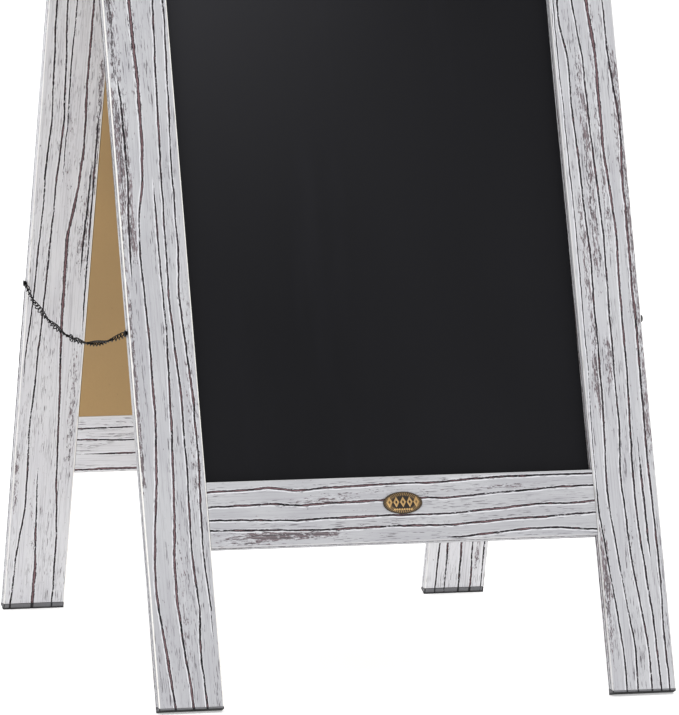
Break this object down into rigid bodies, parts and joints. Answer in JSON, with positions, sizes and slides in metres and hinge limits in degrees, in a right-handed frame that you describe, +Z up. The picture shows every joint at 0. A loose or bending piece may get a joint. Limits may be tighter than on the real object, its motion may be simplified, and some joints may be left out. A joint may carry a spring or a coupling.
{
  "type": "menu chalkboard easel",
  "caption": "Free-standing A-frame sign: hinged whitewashed wooden frames hold black writing boards, tied by side chains, folding flat to carry.",
  "frame": {"origin": "on the floor, midway between the four feet, below the hinge line", "axes": "+Z up; X along the boards' width and the hinge line; the front board, which carries the badge, stands at -Y and faces -Y"},
  "size_m": [0.5234, 0.7148, 0.9623],
  "materials": {
    "whitewashed_wood": "whitewash over open dark grain, satin",
    "tenon_wood": "bare planed wood",
    "chalkboard_black": "matt black writing paint",
    "hardboard": "smooth brown fibreboard",
    "foot_rubber": "smoky grey, satin",
    "antique_brass": "antique, darkened in the hollows",
    "black_steel": "glossy black"
  },
  "bodies": {
    "front_frame": {"leg_front_left": "whitewashed_wood", "leg_front_right": "whitewashed_wood", "rail_front_lower": "whitewashed_wood", "rail_front_upper": "whitewashed_wood", "writing_sheet_front": "chalkboard_black", "backing_board_front": "hardboard", "foot_front_left": "foot_rubber", "foot_front_right": "foot_rubber", "tenon_front_lower_left": "tenon_wood", "tenon_front_lower_right": "tenon_wood", "tenon_front_upper_left": "tenon_wood", "tenon_front_upper_right": "tenon_wood", "hinge_leaf_front_left": "black_steel", "hinge_screw_front_left_inner": "black_steel", "hinge_screw_front_left_outer": "black_steel", "chain_screw_front_left": "black_steel", "hinge_pin_left": "black_steel", "hinge_leaf_front_right": "black_steel", "hinge_screw_front_right_inner": "black_steel", "hinge_screw_front_right_outer": "black_steel", "chain_screw_front_right": "black_steel", "hinge_pin_right": "black_steel", "badge_oval": "antique_brass"},
    "back_frame": {"leg_back_left": "whitewashed_wood", "leg_back_right": "whitewashed_wood", "rail_back_lower": "whitewashed_wood", "rail_back_upper": "whitewashed_wood", "writing_sheet_back": "chalkboard_black", "backing_board_back": "hardboard", "foot_back_left": "foot_rubber", "foot_back_right": "foot_rubber", "tenon_back_lower_left": "tenon_wood", "tenon_back_lower_right": "tenon_wood", "tenon_back_upper_left": "tenon_wood", "tenon_back_upper_right": "tenon_wood", "hinge_leaf_back_left": "black_steel", "hinge_screw_back_left_inner": "black_steel", "hinge_screw_back_left_outer": "black_steel", "chain_screw_back_left": "black_steel", "hinge_leaf_back_right": "black_steel", "hinge_screw_back_right_inner": "black_steel", "hinge_screw_back_right_outer": "black_steel", "chain_screw_back_right": "black_steel"},
    "chain_left_front_upper": {"chain_left_front_upper": "black_steel"},
    "chain_left_front_lower": {"chain_left_front_lower": "black_steel"},
    "chain_left_middle_link": {"chain_left_middle_link": "black_steel"},
    "chain_left_back_lower": {"chain_left_back_lower": "black_steel"},
    "chain_left_back_upper": {"chain_left_back_upper": "black_steel"},
    "chain_right_front_upper": {"chain_right_front_upper": "black_steel"},
    "chain_right_front_lower": {"chain_right_front_lower": "black_steel"},
    "chain_right_middle_link": {"chain_right_middle_link": "black_steel"},
    "chain_right_back_lower": {"chain_right_back_lower": "black_steel"},
    "chain_right_back_upper": {"chain_right_back_upper": "black_steel"}
  },
  "joints": [
    {"name": "fold", "type": "hinge", "parent": "front_frame", "child": "back_frame", "pos_m": [0, 0, 0.9591], "axis": [1, 0, 0], "range_deg": [-39.4, 0], "deforming": ["chain_left_front_upper", "chain_left_front_lower", "chain_left_middle_link", "chain_left_back_lower", "chain_left_back_upper", "chain_right_front_upper", "chain_right_front_lower", "chain_right_middle_link", "chain_right_back_lower", "chain_right_back_upper"]},
    {"name": "chain_left_front_upper_swing", "type": "hinge", "parent": "front_frame", "child": "chain_left_front_upper", "pos_m": [-0.2584, -0.22681, 0.34788], "axis": [1, 0, 0], "range_deg": [-98, 0.1]},
    {"name": "chain_left_front_lower_swing", "type": "hinge", "parent": "chain_left_front_upper", "child": "chain_left_front_lower", "pos_m": [-0.2584, -0.11689, 0.32607], "axis": [1, 0, 0], "range_deg": [-7.3, 0.1]},
    {"name": "chain_left_middle_link_swing", "type": "hinge", "parent": "chain_left_front_lower", "child": "chain_left_middle_link", "pos_m": [-0.2584, -0.0051, 0.31819], "axis": [1, 0, 0], "range_deg": [-0.1, 85.5]},
    {"name": "chain_left_back_upper_swing", "type": "hinge", "parent": "back_frame", "child": "chain_left_back_upper", "pos_m": [-0.2584, 0.22681, 0.34788], "axis": [1, 0, 0], "range_deg": [-0.1, 98]},
    {"name": "chain_left_back_lower_swing", "type": "hinge", "parent": "chain_left_back_upper", "child": "chain_left_back_lower", "pos_m": [-0.2584, 0.11689, 0.32607], "axis": [1, 0, 0], "range_deg": [-0.1, 7.3]},
    {"name": "chain_right_front_upper_swing", "type": "hinge", "parent": "front_frame", "child": "chain_right_front_upper", "pos_m": [0.2584, -0.22681, 0.34788], "axis": [1, 0, 0], "range_deg": [-98, 0.1]},
    {"name": "chain_right_front_lower_swing", "type": "hinge", "parent": "chain_right_front_upper", "child": "chain_right_front_lower", "pos_m": [0.2584, -0.11689, 0.32607], "axis": [1, 0, 0], "range_deg": [-7.3, 0.1]},
    {"name": "chain_right_middle_link_swing", "type": "hinge", "parent": "chain_right_front_lower", "child": "chain_right_middle_link", "pos_m": [0.2584, -0.0051, 0.31819], "axis": [1, 0, 0], "range_deg": [-0.1, 85.5]},
    {"name": "chain_right_back_upper_swing", "type": "hinge", "parent": "back_frame", "child": "chain_right_back_upper", "pos_m": [0.2584, 0.22681, 0.34788], "axis": [1, 0, 0], "range_deg": [-0.1, 98]},
    {"name": "chain_right_back_lower_swing", "type": "hinge", "parent": "chain_right_back_upper", "child": "chain_right_back_lower", "pos_m": [0.2584, 0.11689, 0.32607], "axis": [1, 0, 0], "range_deg": [-0.1, 7.3]}
  ],
  "couplings": [
    {"joint": "chain_left_front_upper_swing", "follows": "fold", "ratio": 2.4838},
    {"joint": "chain_left_front_lower_swing", "follows": "fold", "ratio": 0.18261},
    {"joint": "chain_left_middle_link_swing", "follows": "fold", "ratio": -2.1664},
    {"joint": "chain_left_back_upper_swing", "follows": "fold", "ratio": -2.4838},
    {"joint": "chain_left_back_lower_swing", "follows": "fold", "ratio": -0.18261},
    {"joint": "chain_right_front_upper_swing", "follows": "fold", "ratio": 2.4838},
    {"joint": "chain_right_front_lower_swing", "follows": "fold", "ratio": 0.18261},
    {"joint": "chain_right_middle_link_swing", "follows": "fold", "ratio": -2.1664},
    {"joint": "chain_right_back_upper_swing", "follows": "fold", "ratio": -2.4838},
    {"joint": "chain_right_back_lower_swing", "follows": "fold", "ratio": -0.18261}
  ]
}
